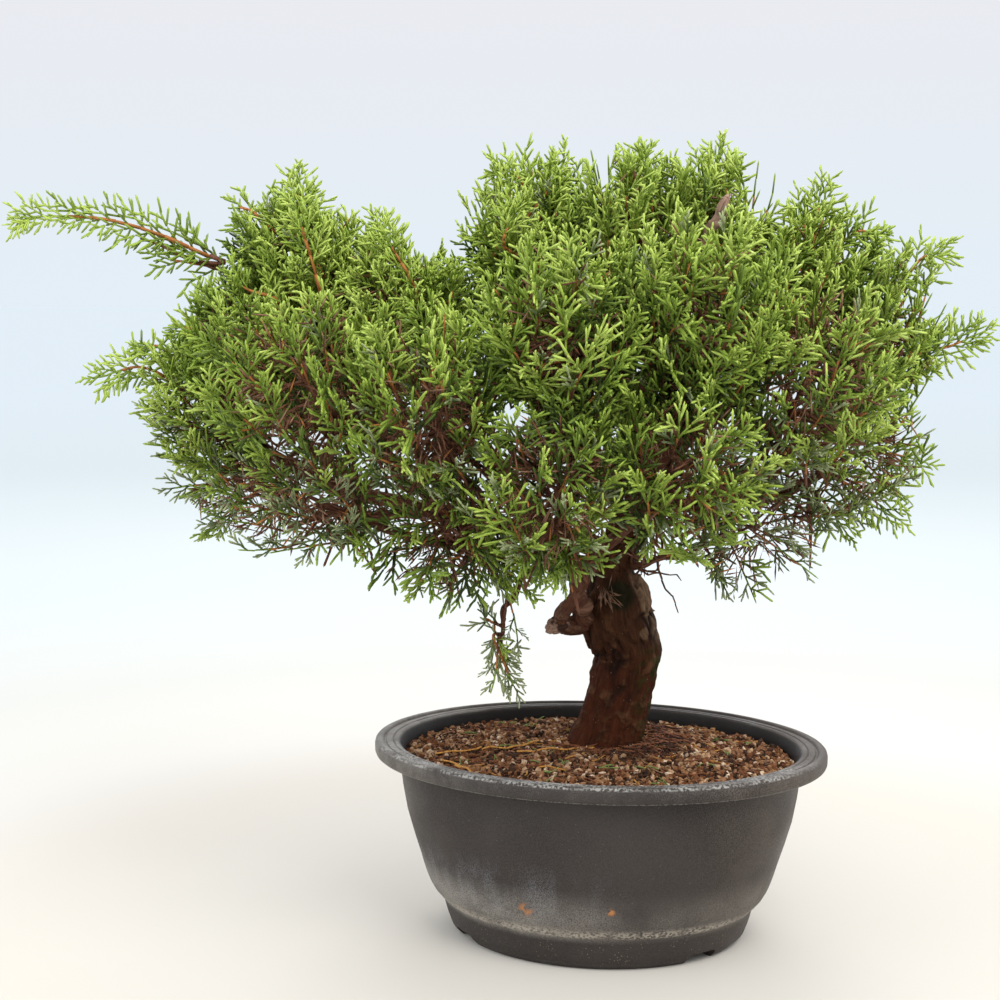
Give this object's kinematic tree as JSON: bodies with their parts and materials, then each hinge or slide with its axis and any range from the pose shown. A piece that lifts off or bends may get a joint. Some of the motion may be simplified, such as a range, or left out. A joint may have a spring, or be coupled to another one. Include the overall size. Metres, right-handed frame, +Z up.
{
  "type": "potted juniper bonsai",
  "caption": "Informal upright juniper bonsai with a leaning trunk, spreading boughs and billowing masses of cord-like scale foliage, in a round-bellied oval training pot.",
  "frame": {"origin": "centre of the pot's flat underside, on the table", "axes": "+Z up along the trunk, +X along the pot's long side towards the right of the picture, -Y towards the pot's front"},
  "size_m": [0.5391, 0.3609, 0.4691],
  "materials": {
    "pot_plastic": "matte charcoal plastic with fine speckle, pale scuffs on the rim and dust round the waist",
    "granules": null,
    "bark": "dark red-brown bark, smoother low on the trunk and flaking in strips above",
    "dead_wood": "weathered pale grey-brown dead wood",
    "foliage": null
  },
  "bodies": {
    "root": {"pot": "pot_plastic", "soil": "granules", "trunk": "bark", "left_bough": "bark", "left_low_bough": "bark", "left_low_limb": "bark", "left_spire_limb": "bark", "left_shoulder_limb": "bark", "long_shoot_limb": "bark", "left_front_limb": "bark", "left_rear_limb": "bark", "left_crest_limb": "bark", "middle_front_limb": "bark", "middle_rear_limb": "bark", "middle_low_limb": "bark", "hanging_limb": "bark", "right_bough": "bark", "right_outer_limb": "bark", "right_front_limb": "bark", "right_hanging_limb": "bark", "right_crest_limb": "bark", "apex_right_limb": "bark", "apex_left_limb": "bark", "upper_right_limb": "bark", "upper_left_limb": "bark", "front_bough": "bark", "front_low_limb": "bark", "rear_bough": "bark", "rear_left_limb": "bark", "rear_low_limb": "bark", "dead_stub": "dead_wood", "long_shoot": "foliage", "left_spire": "foliage", "left_shoulder": "foliage", "left_outer": "foliage", "left_low": "foliage", "left_front": "foliage", "left_low_front": "foliage", "left_rear": "foliage", "left_crest": "foliage", "middle_front": "foliage", "middle_rear": "foliage", "middle_low": "foliage", "hanging_spray": "foliage", "apex_left": "foliage", "apex_middle": "foliage", "apex_right": "foliage", "right_crest": "foliage", "right_outer": "foliage", "right_low": "foliage", "right_hanging": "foliage", "upper_front_left": "foliage", "upper_front_right": "foliage", "lower_front_left": "foliage", "lower_front_right": "foliage", "right_front": "foliage", "rear_left": "foliage", "rear_right": "foliage", "rear_low": "foliage"}
  },
  "joints": []
}
